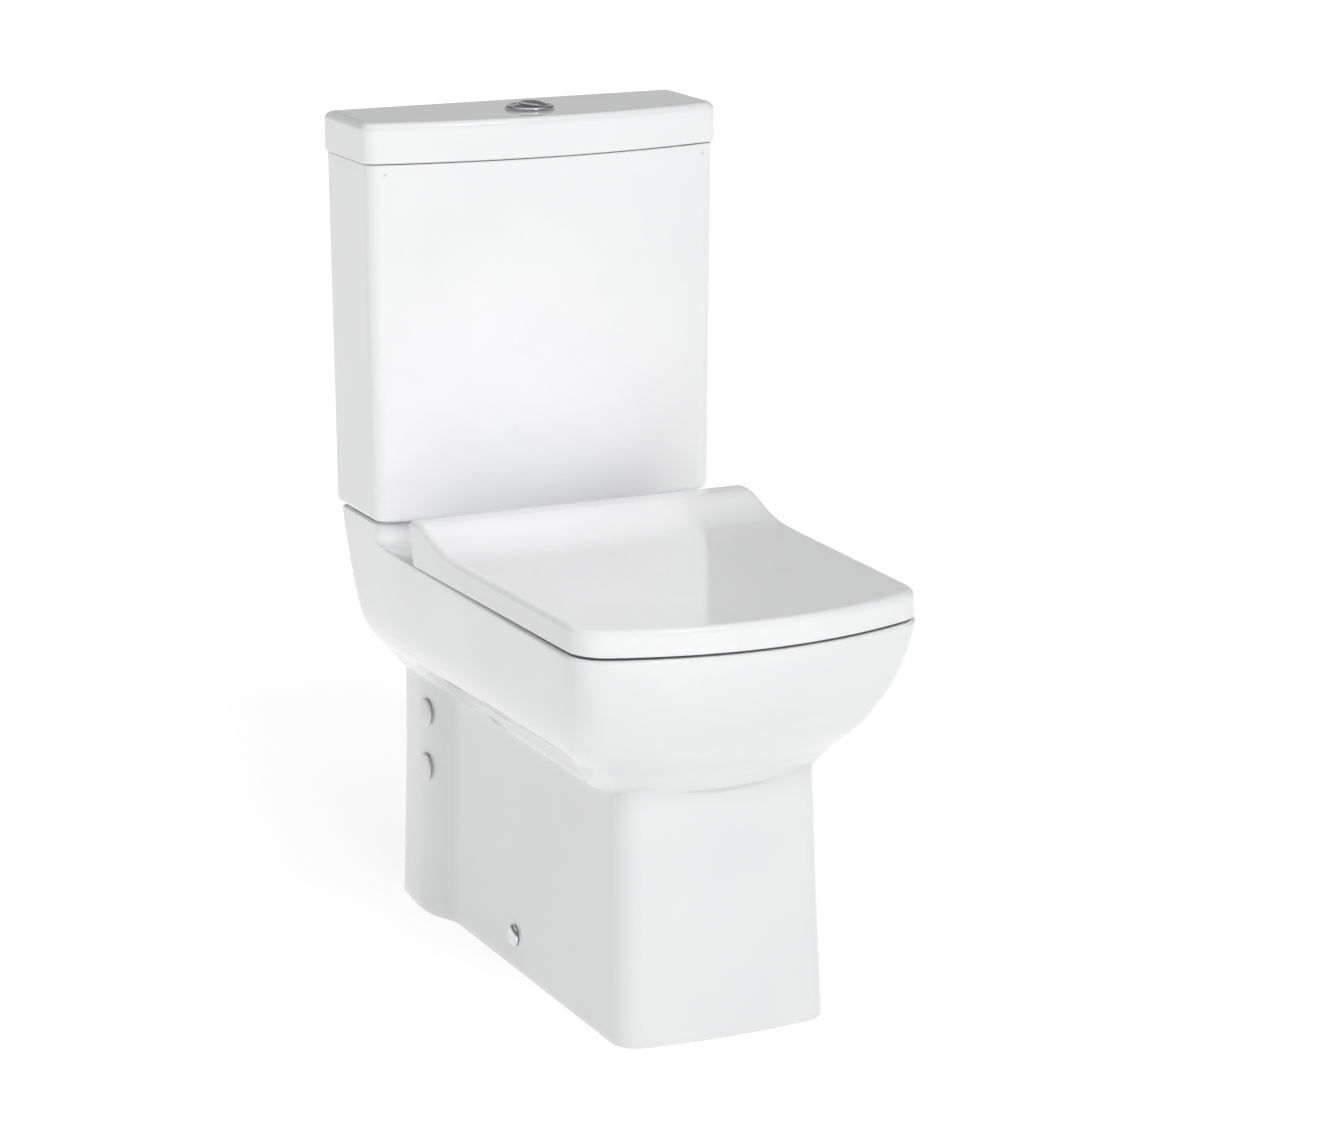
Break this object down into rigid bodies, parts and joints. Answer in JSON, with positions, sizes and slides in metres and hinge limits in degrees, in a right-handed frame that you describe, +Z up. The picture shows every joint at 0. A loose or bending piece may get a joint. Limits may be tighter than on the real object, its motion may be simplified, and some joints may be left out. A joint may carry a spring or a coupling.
{
  "type": "close coupled toilet",
  "caption": "Back-to-wall close coupled toilet: shrouded ceramic pan, cistern with lift-off lid and dual flush button, hinged wrap-over seat lid and seat ring.",
  "frame": {"origin": "centre of the footprint's bounding box, on the floor", "axes": "+Z up, front towards -Y, wall side towards +Y, +X to the right when seen from the front"},
  "size_m": [0.3788, 0.615, 0.8285],
  "materials": {
    "glazed_ceramic": "white vitreous china with a clear high-gloss glaze",
    "seat_plastic": "moulded white urea seat plastic, polished",
    "hinge_plastic": "grey moulded soft-close hinge insert",
    "chrome": "polished chrome plate",
    "steel": "plain stainless steel fixings",
    "brass": "plain brass coupling bolts and nuts",
    "rubber": "black moulded sealing rubber",
    "buffer_rubber": "pale grey soft buffer",
    "white_plastic": "white moulded plastic",
    "cap_plastic": "white push-in cover cap",
    "grey_plastic": "grey moulded valve plastic",
    "blue_plastic": "blue moulded valve plastic",
    "red_plastic": "red moulded valve plastic"
  },
  "bodies": {
    "root": {"pan": "glazed_ceramic", "cistern": "glazed_ceramic", "hinge_post_left": "chrome", "hinge_post_right": "chrome", "seat_stud_left": "steel", "seat_stud_right": "steel", "seat_washer_left": "rubber", "seat_washer_right": "rubber", "seat_wing_nut_left": "white_plastic", "seat_wing_nut_right": "white_plastic", "flush_valve_base": "grey_plastic", "flush_valve_body": "white_plastic", "flush_valve_head": "blue_plastic", "flush_backnut": "grey_plastic", "doughnut_washer": "rubber", "fill_valve_body": "white_plastic", "fill_washer": "rubber", "fill_backnut": "grey_plastic", "coupling_bolt_left": "brass", "coupling_bolt_right": "brass", "coupling_washer_left": "rubber", "coupling_washer_right": "rubber", "coupling_wing_nut_left": "brass", "coupling_wing_nut_right": "brass", "side_cap_upper_left": "cap_plastic", "side_cap_lower_left": "cap_plastic", "side_cap_upper_right": "cap_plastic", "side_cap_lower_right": "cap_plastic", "floor_screw_left": "steel", "floor_screw_right": "steel", "screw_cover_left": "chrome", "screw_cover_right": "chrome", "floor_bracket_left": "grey_plastic", "floor_bracket_right": "grey_plastic"},
    "ring": {"seat_ring": "seat_plastic", "ring_hinge_left": "hinge_plastic", "ring_hinge_right": "hinge_plastic", "hinge_pin_left": "steel", "hinge_pin_right": "steel", "ring_buffer_1": "buffer_rubber", "ring_buffer_2": "buffer_rubber", "ring_buffer_3": "buffer_rubber", "ring_buffer_4": "buffer_rubber"},
    "lid": {"seat_lid": "seat_plastic", "lid_hinge_left": "hinge_plastic", "lid_hinge_right": "hinge_plastic", "lid_buffer_left": "buffer_rubber", "lid_buffer_right": "buffer_rubber"},
    "tank_lid": {"cistern_lid": "glazed_ceramic", "button_bezel": "chrome", "button_nut": "white_plastic"},
    "large_button": {"button_large": "chrome", "button_rod_large": "white_plastic"},
    "small_button": {"button_small": "chrome", "button_rod_small": "white_plastic"},
    "valve_core": {"lift_core": "red_plastic", "flush_seal": "rubber"},
    "float": {"fill_float": "blue_plastic", "float_rod": "white_plastic"},
    "lever": {"fill_lever": "grey_plastic"}
  },
  "joints": [
    {"name": "seat_ring_hinge", "type": "hinge", "parent": "root", "child": "ring", "pos_m": [0, 0.1035, 0.427], "axis": [1, 0, 0], "range_deg": [-96, 0]},
    {"name": "seat_lid_hinge", "type": "hinge", "parent": "ring", "child": "lid", "pos_m": [0, 0.1035, 0.427], "axis": [-1, 0, 0], "range_deg": [0, 97]},
    {"name": "cistern_lid_lift", "type": "slide", "parent": "root", "child": "tank_lid", "axis": [0, 0, 1], "range_m": [0, 0.08]},
    {"name": "button_large_press", "type": "slide", "parent": "tank_lid", "child": "large_button", "axis": [0, 0, -1], "range_m": [0, 0.006], "stiffness_N_per_m": 800, "springref_m": -0.002},
    {"name": "button_small_press", "type": "slide", "parent": "tank_lid", "child": "small_button", "axis": [0, 0, -1], "range_m": [0, 0.006], "stiffness_N_per_m": 800, "springref_m": -0.002},
    {"name": "lift_core_slide", "type": "slide", "parent": "root", "child": "valve_core", "axis": [0, 0, 1], "range_m": [0, 0.0165]},
    {"name": "float_slide", "type": "slide", "parent": "root", "child": "float", "axis": [0, 0, -1], "range_m": [0, 0.012], "stiffness_N_per_m": 60, "springref_m": -0.02},
    {"name": "fill_lever_hinge", "type": "hinge", "parent": "root", "child": "lever", "pos_m": [0.117, 0.2505, 0.683], "axis": [0, 1, 0], "range_deg": [0, 24]}
  ],
  "couplings": [
    {"joint": "lift_core_slide", "follows": "button_large_press", "ratio": 2.6667},
    {"joint": "fill_lever_hinge", "follows": "float_slide", "rad_per_m": 33}
  ]
}
